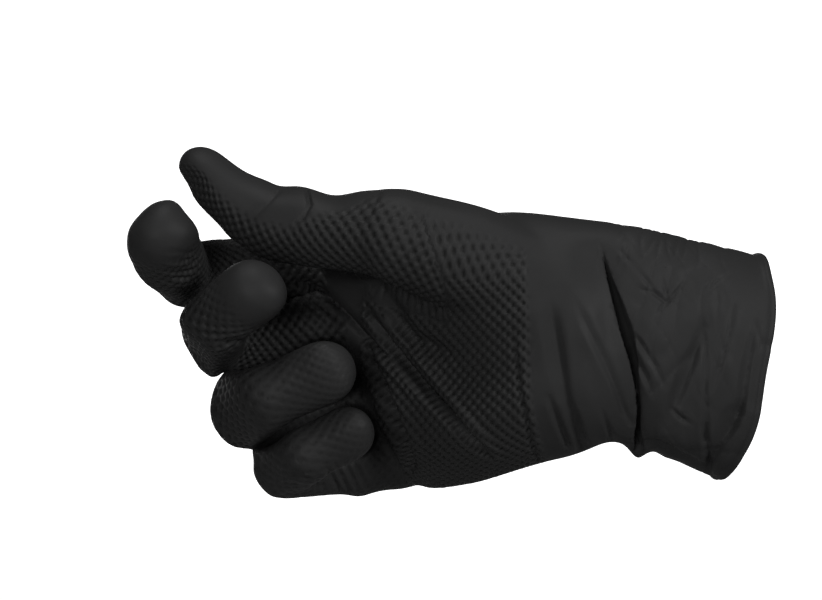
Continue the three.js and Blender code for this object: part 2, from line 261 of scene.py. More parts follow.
# Creases and folds of the front. Rows are x and y in pixels, the width of the hollow in
# pixels and its depth in mm. flanks are the shares of that width that its finger side
# and its cuff side take, lips the heights that rise beside them, over how far the finger
# side leans across the hollow in mm, and fullness makes the hollow's floor flatter. A
# fold without flanks has EVEN_FLANKS.
EVEN_FLANKS = (0.5, 0.5)
FOLDS = [
    {
        "name": "wrist_fold",
        "flanks": (0.12, 1),
        "lips": (0.5, 0.1),
        "over": 1.5,
        "fullness": 3,
        "rows": [
            (599, 244, 2, 0.1),
            (601, 256, 3, 0.7),
            (603, 268, 5, 1.8),
            (604, 280, 8, 2.8),
            (607, 295, 11, 3.6),
            (611, 312, 14, 4.2),
            (615, 328, 16, 4.4),
            (620, 345, 15, 4.4),
            (625, 362, 12, 4.2),
            (629, 379, 9, 3.8),
            (632, 395, 7, 3.4),
            (633, 410, 7, 3.4),
            (632, 425, 8, 3.8),
            (630, 440, 12, 4),
            (634, 464, 14, 4),
        ],
    },
    {
        "name": "wrist_pleat",
        "flanks": (0.8, 0.5),
        "lips": (0.1, 0.25),
        "rows": [
            (548, 296, 10, 0.1),
            (553, 327, 10, 0.7),
            (559, 364, 10, 0.9),
            (564, 391, 8, 0.8),
            (569, 409, 6, 1),
            (575, 432, 6, 1.3),
            (582, 454, 6, 1.4),
        ],
    },
    {
        "name": "wrist_diagonal",
        "flanks": (0.7, 0.4),
        "lips": (0.2, 0.2),
        "rows": [
            (572, 296, 6, 0.1),
            (583, 318, 7, 0.3),
            (593, 338, 7, 0.45),
            (604, 360, 6, 0.55),
            (614, 383, 5, 0.6),
            (622, 406, 5, 0.6),
            (629, 424, 4, 0.4),
        ],
    },
    {
        "name": "wrist_low",
        "lips": (0.2, 0.2),
        "rows": [(548, 398, 5, 0.2), (554, 415, 6, 0.7), (559, 428, 6, 1), (568, 450, 6, 1.2)],
    },
    {
        "name": "wrist_lower",
        "flanks": (0.6, 0.3),
        "lips": (0.2, 0.2),
        "rows": [(574, 406, 5, 0.2), (579, 426, 7, 0.8), (586, 450, 7, 1.2)],
    },
    {
        "name": "wrist_nick",
        "lips": (0.1, 0.1),
        "rows": [(602, 412, 4, 0.2), (608, 434, 5, 0.7), (613, 448, 5, 0.7)],
    },
    {
        "name": "wrist_soft",
        "flanks": (0.7, 0.7),
        "lips": (0, 0),
        "rows": [(586, 350, 12, 0.1), (594, 382, 14, 0.6), (601, 412, 12, 0.4), (606, 430, 8, 0.1)],
    },
    {
        "name": "grip_edge",
        "lips": (0.1, 0.3),
        "rows": [
            (512, 330, 5, 0.1),
            (516, 360, 5, 0.6),
            (519, 390, 5, 0.7),
            (525, 418, 5, 0.8),
            (531, 446, 5, 0.9),
            (539, 466, 5, 0.9),
        ],
    },
    {
        "name": "cuff_shoulder",
        "lips": (0.15, 0.1),
        "rows": [
            (616, 247, 4, 0.1),
            (626, 258, 4, 0.35),
            (640, 274, 4, 0.4),
            (652, 290, 4, 0.3),
            (662, 300, 4, 0.1),
        ],
    },
    {
        "name": "star_left",
        "lips": (0.15, 0.2),
        "rows": [(640, 289, 4, 0.2), (652, 293, 4, 0.6), (664, 301, 4, 0.7)],
    },
    {
        "name": "star_right",
        "lips": (0.2, 0.2),
        "rows": [(655, 314, 4, 0.2), (666, 303, 4, 0.8), (674, 294, 4, 0.7), (683, 283, 4, 0.1)],
    },
    {
        "name": "star_up",
        "lips": (0.1, 0.1),
        "rows": [(660, 276, 3, 0.1), (664, 289, 3, 0.4), (667, 301, 3, 0.4)],
    },
    {
        "name": "cuff_spoke",
        "lips": (0.15, 0.15),
        "rows": [(704, 292, 4, 0.1), (714, 282, 4, 0.6), (729, 272, 4, 0.1)],
    },
    {
        "name": "cuff_drape",
        "flanks": (0.9, 0.4),
        "lips": (0.1, 0.25),
        "rows": [
            (702, 325, 5, 0.1),
            (697, 346, 7, 0.7),
            (690, 364, 8, 1),
            (681, 387, 8, 1),
            (672, 408, 7, 0.8),
            (664, 428, 6, 0.3),
        ],
    },
    {
        "name": "cuff_seam",
        "flanks": (0.4, 0.7),
        "lips": (0.2, 0.1),
        "rows": [
            (702, 326, 4, 0.2),
            (703, 350, 4, 0.6),
            (702, 380, 4, 0.6),
            (701, 410, 4, 0.7),
            (701, 440, 5, 1),
        ],
    },
    {
        "name": "cuff_slip",
        "flanks": (0.5, 0.6),
        "lips": (0.2, 0.1),
        "rows": [(628, 328, 4, 0.1), (640, 345, 5, 0.6), (654, 366, 5, 0.6), (664, 388, 4, 0.1)],
    },
    {
        "name": "cuff_tuck",
        "flanks": (0.5, 0.6),
        "lips": (0.2, 0.1),
        "rows": [(634, 357, 4, 0.2), (644, 376, 5, 0.7), (652, 396, 4, 0.1)],
    },
    {
        "name": "cuff_thread",
        "lips": (0.1, 0.2),
        "rows": [(733, 300, 4, 0.1), (727, 330, 4, 0.5), (719, 360, 4, 0.5), (708, 392, 4, 0.1)],
    },
    {
        "name": "rim_fall",
        "flanks": (0.7, 0.4),
        "lips": (0.1, 0.2),
        "rows": [
            (753, 318, 4, 0.1),
            (748, 344, 6, 0.8),
            (742, 374, 7, 1),
            (737, 398, 7, 1),
            (733, 414, 6, 0.6),
        ],
    },
    {
        "name": "rim_side",
        "flanks": (0.4, 0.5),
        "lips": (0.1, 0.1),
        "rows": [(752, 322, 4, 0.2), (757, 344, 4, 0.5), (761, 368, 4, 0.1)],
    },
    {
        "name": "rim_pocket",
        "flanks": (0.9, 0.25),
        "lips": (0.2, 0.5),
        "rows": [
            (738, 398, 6, 0.1),
            (733, 412, 10, 1.6),
            (727, 426, 12, 2),
            (717, 443, 10, 1.6),
            (708, 464, 8, 1.4),
            (704, 476, 7, 1.2),
        ],
    },
    {
        "name": "rim_notch",
        "flanks": (0.5, 0.4),
        "lips": (0.2, 0.1),
        "rows": [(700, 424, 4, 0.2), (704, 446, 6, 0.9), (708, 472, 6, 1.2)],
    },
    {
        "name": "cuff_curl",
        "flanks": (0.5, 0.4),
        "lips": (0.1, 0.2),
        "rows": [(670, 408, 4, 0.2), (678, 416, 5, 0.7), (689, 424, 4, 0.1)],
    },
    {
        "name": "cuff_under",
        "lips": (0.2, 0),
        "rows": [(640, 441, 7, 0.8), (658, 443, 8, 1.2), (682, 457, 8, 1.2), (703, 467, 7, 0.8)],
    },
    {
        "name": "palm_crease",
        "flanks": (0.5, 0.6),
        "lips": (0.5, 0.9),
        "over": 0.9,
        "rows": [
            (366, 309, 6, 0.5),
            (387, 342, 9, 2.4),
            (411, 374, 10, 3.2),
            (422, 388, 10, 3.2),
            (444, 409, 8, 2.6),
            (466, 434, 7, 1.9),
            (490, 458, 6, 0.4),
        ],
    },
    {
        "name": "finger_crease",
        "flanks": (0.6, 0.45),
        "lips": (0.5, 0.6),
        "over": 0.6,
        "rows": [
            (364, 338, 6, 0.5),
            (376, 372, 8, 2.3),
            (389, 403, 9, 2.6),
            (400, 431, 9, 2.6),
            (412, 466, 9, 1.8),
        ],
    },
    {
        "name": "finger_base",
        "flanks": (0.2, 0.7),
        "lips": (0.5, 0),
        "over": 1,
        "rows": [
            (286, 284, 6, 0.6),
            (303, 284, 10, 2),
            (320, 294, 12, 2.4),
            (344, 320, 12, 2.4),
            (364, 340, 10, 1.8),
            (392, 361, 8, 1.2),
            (420, 392, 6, 0.3),
        ],
    },
    {
        "name": "web_fold",
        "flanks": (0.8, 0.5),
        "lips": (0.2, 0.3),
        "rows": [
            (368, 272, 7, 0.1),
            (384, 290, 10, 0.8),
            (398, 314, 13, 1.6),
            (412, 338, 15, 2.3),
            (432, 346, 13, 2),
            (455, 356, 9, 0.3),
        ],
    },
    {
        "name": "palm_dip",
        "flanks": (0.6, 0.6),
        "lips": (0, 0),
        "rows": [(405, 350, 8, 0.5), (430, 385, 9, 0.9), (452, 412, 8, 0.7), (470, 430, 6, 0.1)],
    },
    {
        "name": "thumb_joint",
        "lips": (0.05, 0.05),
        "rows": [(307, 186, 4, 1), (310, 202, 4, 1), (304, 217, 4, 0.6), (290, 231, 3, 0.1)],
    },
    {
        "name": "thumb_fine",
        "lips": (0.05, 0.05),
        "rows": [(278, 190, 4, 0.4), (268, 203, 4, 0.3), (254, 218, 3, 0.1)],
    },
    {
        "name": "thumb_base",
        "lips": (0.05, 0.05),
        "rows": [(381, 188, 5, 0.3), (375, 204, 5, 0.3), (367, 220, 4, 0.1)],
    },
    {
        "name": "thumb_heel",
        "lips": (0.05, 0.05),
        "rows": [(420, 226, 4, 0.1), (409, 238, 4, 0.3), (396, 248, 4, 0.1)],
    },
    {
        "name": "middle_facet",
        "flanks": (0.4, 0.4),
        "lips": (0.2, 0.2),
        "rows": [(206, 346, 5, 0.2), (226, 342, 6, 0.7), (246, 340, 6, 0.6), (262, 336, 5, 0.1)],
    },
]

# Rows of like folds: the first one's ends in pixels, the step between them, how many,
# the hollow's width and its depth in mm
PLEAT_ROWS = [
    {
        "name": "little_pleats",
        "from": (326, 466),
        "to": (342, 496),
        "step": (9, -2),
        "count": 4,
        "width": 5,
        "depth": 0.8,
    },
    {
        "name": "little_lines",
        "from": (276, 470),
        "to": (318, 474),
        "step": (2, 6),
        "count": 3,
        "width": 4,
        "depth": 0.5,
    },
    {
        "name": "index_lines",
        "from": (166, 252),
        "to": (200, 252),
        "step": (0, 9),
        "count": 5,
        "width": 5,
        "depth": 0.5,
    },
    {
        "name": "middle_lines",
        "from": (190, 330),
        "to": (232, 336),
        "step": (1, -10),
        "count": 3,
        "width": 4,
        "depth": 0.25,
    },
]

# Such a fold's middle moves by a pixel or two, by turns to one side and the other. It is
# deepest there, and its lips are a share of its depth.
PLEAT_BOW = 1.5
PLEAT_DEPTHS = (0.3, 1, 0.5)
PLEAT_LIP = 0.2

# Shares below this count as none
FAINT = 0.01

# How far round its path a fold is worked out, in mm, and how much wider a sharp hollow is
# than its flanks. The lips lie past the flanks, and they and the lean have a place and a
# width as shares of the hollow's width. Lips start and end over shares of the fold's length.
FOLD_MARGIN = 9
SHARP_WIDTH = 1.7
FINGER_LIP_PLACE = 0.6
CUFF_LIP_PLACE = 0.7
LIP_WIDTH = 0.6
LIP_START = (0, 0.2)
LIP_END = (0.85, 1.1)
LEAN_PLACE = -0.2
LEAN_WIDTH = 0.35

# Crumpled cuff: where the folds start past the wrist's fold and end before the mouth, and
# the heights of the broad swells, the long folds and the tilted ones, all in mm
CRUMPLE_START = (1, 9)
CRUMPLE_END = (-6, -2)
SWELL_HEIGHT = 0.6
LONG_DEPTH = 0.36
TILTED_DEPTH = 0.16

# The front is what faces the viewer by more than the first slope, and in full by the
# second. Its rays start some way off the film, in mm, and so many passes blur its edge.
FRONT_SLOPES = (0.02, 0.3)
RAY_LIFT = 0.4
FRONT_PASSES = 10

# Nitrile: its blacks, the deeper of which the pits' painted shade leans to; the scales of its
# mottling and its orange-peel grain; the part of the mottling's noise that counts, and the
# shares of the blacks and the roughness that it gives; where a pit of the grip starts and ends,
# how far painted shade darkens it and how much it roughens; and the strength and the height
# in metres of the grip's and the grain's bumps
DEEP_BLACK = (0.012, 0.012, 0.0118, 1)
SOFT_BLACK = (0.028, 0.028, 0.0285, 1)
MOTTLING_SCALE = 60.0
GRAIN_SCALE = 1500.0
MOTTLING_NOISE = (0.3, 0.7)
MOTTLING_SHADE = (0.42, 0.58)
ROUGHNESS = (0.54, 0.64)
PIT_EDGE = (0.05, 0.6)
# Painted shade: how far the grip's pits are darkened in the base colour
PIT_PAINTED_SHADE = 0.5
PIT_ROUGHNESS = 0.1
GRIP_BUMP = {"Strength": 0.7, "Distance": 0.00035}
GRAIN_BUMP = {"Strength": 0.35, "Distance": 0.00004}
REFRACTION = 1.45
SHEEN = 0.16

# Studio, in metres: what the lights aim at, the lights, the world's level for the glove and
# for the camera, and the floor. The lens and the sensor are in mm.
GLOVE_MIDDLE = (-0.085, 0, 0.012)
LIGHTS = [
    {"name": "key", "place": (1.05, -1.05, 0.5), "size": 0.4, "power": 14},
    {"name": "fill", "place": (-0.5, -1.4, 0.15), "size": 0.7, "power": 8},
    {"name": "top", "place": (-0.2, -0.3, 1.35), "size": 0.6, "power": 8},
    {"name": "back", "place": (-0.4, 1.5, 0.1), "size": 0.9, "power": 5},
]
WORLD_LEVEL = 0.07
WORLD_IN_VIEW = 1.6
FLOOR_RADIUS = 6
FLOOR_SIDES = 96
FLOOR_MIDDLE = (-0.09, 0, -0.16)
FLOOR_GREY = (0.3, 0.3, 0.3, 1)
FLOOR_ROUGHNESS = 0.9
LENS = 800
SENSOR = 36


def smoothstep(low, high, value):
    share = np.clip((value - low) / (high - low), 0, 1)
    return share * share * (3 - 2 * share)


def from_photo(x, y):
    """X and Z in mm of a pixel of the photograph"""
    return (x - ORIGIN_PIXEL[0]) * PIXEL, (ORIGIN_PIXEL[1] - y) * PIXEL


def unit(vectors):
    return vectors / np.maximum(np.linalg.norm(vectors, axis=-1, keepdims=True), 1e-9)


def line_at(pixels, z):
    """X at the heights z on a line that runs down the photograph"""
    line_x, line_z = zip(*[from_photo(*pixel[:2]) for pixel in pixels])
    return np.interp(-z, [-value for value in line_z], line_x)


# Mesh helpers
def values_of(items, key, size=1, kind=float):
    """One property of every item, in rows of that size"""
    flat = np.empty(size * len(items), dtype=kind)
    items.foreach_get(key, flat)
    return flat.reshape(-1, size) if size > 1 else flat


def points_of(mesh):
    return values_of(mesh.vertices, "co", 3) / MM


def normals_of(mesh):
    return values_of(mesh.vertex_normals, "vector", 3)


def edges_of(mesh):
    return values_of(mesh.edges, "vertices", 2, np.int64)


def move_points(mesh, points):
    mesh.vertices.foreach_set("co", (points * MM).ravel())
    mesh.update()


def add_attribute(mesh, name, kind, values):
    attribute = mesh.attributes.new(name, kind, "POINT")
    key = "value" if kind == "FLOAT" else "vector"
    attribute.data.foreach_set(key, np.asarray(values, dtype=np.float32).ravel())


def piece(name, mesh):
    made = bpy.data.objects.new(name, mesh)
    bpy.context.scene.collection.objects.link(made)
    return made


def modified(mesh, kind, settings):
    """The mesh after one modifier"""
    holder = piece("holder", mesh)
    modifier = holder.modifiers.new("step", kind)
    for key, value in settings.items():
        setattr(modifier, key, value)
    graph = bpy.context.evaluated_depsgraph_get()
    made = bpy.data.meshes.new_from_object(
        holder.evaluated_get(graph),
        preserve_all_data_layers=True,
        depsgraph=graph,
    )
    bpy.data.objects.remove(holder)
    return made


def blur(mesh, values, passes):
    """Values spread along the mesh's edges"""
    ends = edges_of(mesh)
    count = len(mesh.vertices)
    degree = np.bincount(ends.ravel(), minlength=count)
    for _ in range(passes):
        total = np.bincount(ends[:, 0], values[ends[:, 1]], count)
        total += np.bincount(ends[:, 1], values[ends[:, 0]], count)
        values = 0.5 * values + 0.5 * total / np.maximum(degree, 1)
    return values


# The mouth's plane: its top leans out and its palm side is turned out
mouth_up = Vector((math.sin(MOUTH_LEAN), 0, math.cos(MOUTH_LEAN)))
mouth_back = Vector((-math.sin(MOUTH_YAW), math.cos(MOUTH_YAW), 0))
MOUTH_AXIS = mouth_back.cross(mouth_up).normalized()


def cut_mouth(bm, depth):
    """Cuts away what lies past a plane that many mm inside the mouth"""
    bmesh.ops.bisect_plane(
        bm,
        geom=bm.verts[:] + bm.edges[:] + bm.faces[:],
        plane_co=MOUTH_AXIS * -depth * MM,
        plane_no=MOUTH_AXIS,
        clear_outer=True,
    )


def linked(start):
    """Every vertex that joins on to start"""
    found = {start}
    front = [start]
    while front:
        vertex = front.pop()
        for edge in vertex.link_edges:
            other = edge.other_vert(vertex)
            if other not in found:
                found.add(other)
                front.append(other)
    return found


def outer_skin():
    """The outside of the CAD film, closed by a stub that runs out of the mouth"""
    bm = bmesh.new()
    bm.from_mesh(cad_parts["glove"].data)
    bmesh.ops.remove_doubles(bm, verts=bm.verts, dist=WELD * MM)
    cut_mouth(bm, RIM_START)
    keep = linked(max(bm.verts, key=lambda vertex: vertex.co.z))
    bmesh.ops.delete(bm, geom=[vertex for vertex in bm.verts if vertex not in keep], context="VERTS")
    rim = [edge for edge in bm.edges if edge.is_boundary]
    lid = bmesh.ops.contextual_create(bm, geom=rim)["faces"]
    stub = bmesh.ops.extrude_face_region(bm, geom=lid)["geom"]
    moved = [item for item in stub if isinstance(item, bmesh.types.BMVert)]
    bmesh.ops.translate(bm, verts=moved, vec=MOUTH_AXIS * MOUTH_STUB * MM)
    bmesh.ops.recalc_face_normals(bm, faces=bm.faces)
    mesh = bpy.data.meshes.new("skin")
    bm.to_mesh(mesh)
    bm.free()
    return mesh


def smooth_skin():
    """The outer skin as an even mesh with its facets smoothed away, open at the mouth"""
    mesh = modified(outer_skin(), "REMESH", {"mode": "VOXEL", "voxel_size": VOXEL * MM})
    mesh = modified(mesh, "SMOOTH", {"factor": 0.5, "iterations": SMOOTH_PASSES})
    move_points(mesh, points_of(mesh) + REGROWTH * normals_of(mesh))
    bm = bmesh.new()
    bm.from_mesh(mesh)
    cut_mouth(bm, RIM_START)
    bm.to_mesh(mesh)
    bm.free()
    return mesh


# Places on the glove
def aim(towards_palm, rise):
    turn = math.radians(towards_palm)
    lift = math.radians(rise)
    return np.array([-math.cos(turn) * math.cos(lift), -math.sin(turn) * math.cos(lift), math.sin(lift)])


def rounded_path(corners):
    """A fine smooth curve through a chain of joints"""
    path = np.array(corners, dtype=float)
    for _ in range(CORNER_CUTS):
        near = 0.75 * path[:-1] + 0.25 * path[1:]
        far = 0.25 * path[:-1] + 0.75 * path[1:]
        inner = np.stack([near, far], axis=1).reshape(-1, 3)
        path = np.vstack([path[:1], inner[1:-1], path[-1:]])
    steps = np.linalg.norm(np.diff(path, axis=0), axis=1)
    along = np.concatenate([[0], np.cumsum(steps)])
    fine = np.linspace(0, along[-1], PATH_POINTS)
    return np.stack([np.interp(fine, along, path[:, axis]) for axis in range(3)], axis=1), fine


def chain(root, stall):
    corners = [np.array(root, dtype=float)]
    for share, direction in zip(stall["shares"], stall["aims"]):
        corners.append(corners[-1] + share * stall["length"] * aim(*direction))
    tip = corners[-1] + 0.5 * stall["width"] * unit(corners[-1] - corners[-2])
    path, along = rounded_path(corners[:-1] + [tip])
    return {**stall, "path": path, "along": along}


def chains():
    """The five stalls' middle lines, the thumb's last"""
    knuckles = BODY[-1]
    middle = np.array([knuckles["x"], knuckles["y"], knuckles["z"]])
    up = np.array([-math.sin(KNUCKLE_LEAN), 0, math.cos(KNUCKLE_LEAN)])
    row = ROOT_GIRTH * sum(stall["width"] for stall in STALLS.values()) + 3 * STALL_GAP
    top = 0.5 * row
    made = []
    for stall in STALLS.values():
        across = ROOT_GIRTH * stall["width"]
        made.append(chain(middle + (top - 0.5 * across) * up, stall))
        top -= across + STALL_GAP
    return made + [chain(THUMB_ROOT, THUMB)]


def nearest_samples(points, path):
    nearest = np.empty(len(points), dtype=np.int64)
    for start in range(0, len(points), BATCH):
        part = points[start:start + BATCH]
        away = ((part[:, None, :] - path[None, :, :]) ** 2).sum(axis=2)
        nearest[start:start + BATCH] = away.argmin(axis=1)
    return nearest


def stall_places(points, stall):
    """Distance to the stall's skin, place along it and turns round it"""
    path = stall["path"]
    near = nearest_samples(points, path)
    tangent = unit(np.gradient(path, axis=0))[near]
    offset = points - path[near]
    lead = (offset * tangent).sum(axis=1)
    along = stall["along"][near] + lead
    offset = offset - lead[:, None] * tangent
    away = np.sqrt((offset ** 2).sum(axis=1) + np.maximum(np.abs(lead) - PATH_SLACK, 0) ** 2)
    upward = unit(np.array([0, 0, 1]) - tangent[:, 2:3] * tangent)
    beside = np.cross(tangent, upward)
    angle = np.arctan2((offset * beside).sum(axis=1), (offset * upward).sum(axis=1))
    return away - 0.5 * stall["width"], along, angle / (2 * math.pi)


def body_places(points):
    """The same for the body, whose section is about an oval with straight sides"""
    rows = BODY[::-1]
    table_x = [row["x"] for row in rows]
    x = points[:, 0]
    depth = points[:, 1] - np.interp(x, table_x, [row["y"] for row in rows])
    height = points[:, 2] - np.interp(x, table_x, [row["z"] for row in rows])
    half_width = np.interp(x, table_x, [row["half"][0] for row in rows])
    radius = np.interp(x, table_x, [row["half"][1] for row in rows])
    straight = half_width - radius
    past = np.maximum(np.abs(height) - straight, 0)
    knuckles = BODY[-1]
    out = np.array([-math.cos(KNUCKLE_LEAN), -math.sin(KNUCKLE_YAW), -math.sin(KNUCKLE_LEAN)])
    beyond = (points - np.array([knuckles["x"], knuckles["y"], knuckles["z"]])) @ out
    away = np.maximum(np.hypot(past, depth) - radius, beyond - KNUCKLE_REACH)
    turn = np.arctan2(past, -depth)
    flat = np.minimum(np.abs(height), straight)
    arc = np.where(depth < 0, flat, 2 * straight - flat) + radius * turn
    around = np.sign(height) * arc / (4 * straight + 2 * math.pi * radius)
    slope = np.hypot(1, np.gradient([row["y"] for row in rows], table_x))
    steps = np.concatenate([[0], np.cumsum(0.5 * (slope[1:] + slope[:-1]) * np.diff(table_x))])
    return away, -np.interp(x, table_x, steps), around


def pleat_rows():
    """The single folds of PLEAT_ROWS"""
    made = []
    for row in PLEAT_ROWS:
        for i in range(row["count"]):
            start = [row["from"][k] + i * row["step"][k] for k in (0, 1)]
            end = [row["to"][k] + i * row["step"][k] for k in (0, 1)]
            bow = PLEAT_BOW * (-1) ** i
            middle = [0.5 * (start[k] + end[k]) + bow for k in (0, 1)]
            depths = [share * row["depth"] for share in PLEAT_DEPTHS]
            rows = [(*place, row["width"], depth) for place, depth in zip((start, middle, end), depths)]
            lips = (PLEAT_LIP * row["depth"], PLEAT_LIP * row["depth"])
            made.append({"name": row["name"], "lips": lips, "rows": rows})
    return made


def near_pixel(points, spot):
    """1 at a spot of the photograph, fading over its radius"""
    x, z = from_photo(spot["x"], spot["y"])
    away = np.hypot(points[:, 0] - x, points[:, 2] - z) / (spot["radius"] * PIXEL)
    return np.exp(-away ** 2)


def form_moves(points, normals, seen):
    """The pulls and swells that bring the film's form to the photograph's"""
    moves = np.zeros_like(points)
    for pull in PULLS:
        share = near_pixel(points, pull)
        moves[:, 0] += share * pull["move"][0] * PIXEL
        moves[:, 2] -= share * pull["move"][1] * PIXEL
    for swell in SWELLS:
        rise = near_pixel(points, swell) * swell["rise"]
        if swell["front"]:
            moves[:, 1] -= rise * seen
        else:
            moves += rise[:, None] * normals
    return moves


def distance_to_rows(points, rows):
    """Distance in the picture to a fold's path, its side, share along, width and depth"""
    places = [(*from_photo(x, y), width * PIXEL, depth) for x, y, width, depth in rows]
    nearest = np.full(len(points), 1e9)
    side, share, width, depth = (np.zeros(len(points)) for _ in range(4))
    across = np.zeros((len(points), 2))
    flat = points[:, (0, 2)]
    for i, (start, end) in enumerate(zip(places[:-1], places[1:])):
        a = np.array(start[:2])
        run = np.array(end[:2]) - a
        t = np.clip(((flat - a) @ run) / (run @ run), 0, 1)
        offset = flat - a - t[:, None] * run
        away = np.hypot(offset[:, 0], offset[:, 1])
        closer = away < nearest
        nearest[closer] = away[closer]
        turned = run[0] * offset[:, 1] - run[1] * offset[:, 0]
        side[closer] = np.sign(turned)[closer]
        share[closer] = ((i + t) / (len(places) - 1))[closer]
        width[closer] = (start[2] + t * (end[2] - start[2]))[closer]
        depth[closer] = (start[3] + t * (end[3] - start[3]))[closer]
        across[closer] = np.array([-run[1], run[0]]) / math.hypot(*run)
    return nearest * side, share, width, depth, across


def hump(away, middle, width):
    """1 at its middle, fading over its width"""
    return np.exp(-((away - middle) / width) ** 2)


def fold_moves(points, normals, seen):
    """How far the folds and creases move each point"""
    moves = np.zeros_like(points)
    for fold in FOLDS + pleat_rows():
        rows = fold["rows"]
        places = np.array([from_photo(row[0], row[1]) for row in rows])
        low = places.min(axis=0) - FOLD_MARGIN
        high = places.max(axis=0) + FOLD_MARGIN
        flat = points[:, (0, 2)]
        index = np.nonzero(((flat > low) & (flat < high)).all(axis=1) & (seen > FAINT))[0]
        if not len(index):
            continue
        away, share, width, depth, across = distance_to_rows(points[index], rows)
        finger_flank, cuff_flank = fold.get("flanks", EVEN_FLANKS)
        reach = width * np.where(away < 0, finger_flank, cuff_flank)
        fullness = fold.get("fullness", 1)
        reach = reach * (SHARP_WIDTH if fullness == 1 else 1)
        hollow = 1 - np.clip(np.abs(away) / reach, 0, 1) ** fullness
        # Rounds the hollow's shoulders and its floor, and keeps its depth
        hollow = hollow ** 1.6 * (1.6 - 0.6 * hollow)
        finger_lip, cuff_lip = fold["lips"]
        lips = finger_lip * hump(away, -(finger_flank + FINGER_LIP_PLACE) * width, LIP_WIDTH * width)
        lips += cuff_lip * hump(away, (cuff_flank + CUFF_LIP_PLACE) * width, LIP_WIDTH * width)
        lips *= smoothstep(*LIP_START, share) * (1 - smoothstep(*LIP_END, share))
        moves[index] += (seen[index] * (lips - depth * hollow))[:, None] * normals[index]
        lean = fold.get("over", 0) * seen[index] * depth / max(row[3] for row in rows)
        lean *= hump(away, LEAN_PLACE * width, LEAN_WIDTH * width)
        moves[index, 0] += lean * across[:, 0] * np.sign(across[:, 0])
        moves[index, 2] += lean * across[:, 1] * np.sign(across[:, 0])
    return moves


def ridged(place, power):
    """Noise that is high along thin, wandering lines"""
    return (1 - min(1, 2.2 * abs(perlin(place)))) ** power


def crumple(points, normals):
    """Fine folds all round the cuff: long thin ones that fan out, and a few short ones"""
    wrist_fold = FOLDS[0]["rows"]
    past = points[:, 0] - line_at(wrist_fold, points[:, 2])
    level = smoothstep(*CRUMPLE_START, past) * (1 - smoothstep(*CRUMPLE_END, points[:, 0]))
    heights = np.zeros(len(points))
    for i in np.nonzero(level > FAINT)[0]:
        x, y, z = points[i]
        # The factors are steps of the noise for each mm
        down = 0.45 * x + 0.02 * z * x
        swell = perlin(Vector((0.13 * x + 0.03 * z, 0.08 * y, 0.05 * z)))
        long = ridged(Vector((0.26 * down + 0.05 * z, 0.07 * y, 0.045 * z + 3)), 4)
        tilted = ridged(Vector((0.17 * x + 0.07 * z + 9, 0.06 * y, 0.05 * z - 0.03 * x)), 6)
        heights[i] = SWELL_HEIGHT * swell - LONG_DEPTH * long - TILTED_DEPTH * tilted
    return (level * heights)[:, None] * normals


def seen_from_front(mesh, points, normals):
    """1 where nothing of the glove lies in front of the point, fading towards its edges"""
    polygons = [tuple(face.vertices) for face in mesh.polygons]
    tree = BVHTree.FromPolygons(points.tolist(), polygons)
    clear = np.zeros(len(points))
    towards = Vector((0, -1, 0))
    facing = normals[:, 1] < -FRONT_SLOPES[0]
    for i in np.nonzero(facing)[0]:
        start = Vector(points[i] + RAY_LIFT * normals[i])
        if tree.ray_cast(start, towards)[0] is None:
            clear[i] = 1
    return blur(mesh, clear, FRONT_PASSES) * smoothstep(*FRONT_SLOPES, -normals[:, 1])


def grip_places(points):
    """Where each point lies in the grip's lattice, and how strongly the grip shows"""
    stalls = chains()
    places = [body_places(points)] + [stall_places(points, stall) for stall in stalls]
    gaps = np.stack([place[0] for place in places])
    x, z = points[:, 0], points[:, 2]
    past = x - line_at(THUMB_START, z)
    gaps[-1] += np.where(past > 0, THUMB_HOLD * past, 0)
    gaps[0] += np.where((past < 0) & (gaps[-1] < THUMB_NEAR), -THUMB_HOLD * past, 0)
    order = np.sort(gaps, axis=0)
    owner = gaps.argmin(axis=0)
    strength = smoothstep(*SEAM_FADE, order[1] - order[0])
    strength *= 1 - smoothstep(*END_FADE, x - line_at(GRIP_END, z))
    edge_x, edge_z = zip(*[from_photo(*pixel) for pixel in BACK_EDGE])
    strength *= smoothstep(*BACK_FADE, np.interp(x, edge_x, edge_z) - z)
    for spot in PLAIN_SPOTS:
        strength *= 1 - np.clip(SPOT_FLATNESS * near_pixel(points, spot), 0, 1)
    rounds = np.array([BODY_AROUND] + [stall["around"] for stall in stalls])[owner]
    along = np.choose(owner, [place[1] for place in places]) / PITCH
    around = np.choose(owner, [place[2] for place in places]) * rounds
    for number, stall in enumerate(stalls, start=1):
        own = owner == number
        end = stall["along"][-1] - stall["plain"]
        strength[own] *= 1 - smoothstep(end - TIP_FADE, end + TIP_FADE, places[number][1][own])
        strength[own] *= 1 - (1 - stall["front"]) * smoothstep(*STRETCHED, x[own])
    return along, around, rounds, strength


def unwrapped(steps, rounds):
    """Steps round the glove, with whole turns taken out"""
    return steps - rounds * np.round(steps / rounds)


def evenness(mesh, points, along, around, rounds):
    """1 where the lattice has about its own pitch on the film, 0 where smeared or crammed"""
    first, second = edges_of(mesh).T
    length = np.linalg.norm(points[first] - points[second], axis=1) / PITCH
    even = np.ones(len(points))
    across = unwrapped(around[first] - around[second], rounds[first])
    for steps in (along[first] - along[second], across):
        rate = np.minimum(np.abs(steps) / np.maximum(length, 1e-6), MOST_STEPS)
        most = np.zeros(len(points))
        np.maximum.at(most, first, rate)
        np.maximum.at(most, second, rate)
        even *= smoothstep(*TOO_WIDE, most) * (1 - smoothstep(*TOO_TIGHT, most))
    return blur(mesh, even, EVEN_PASSES)


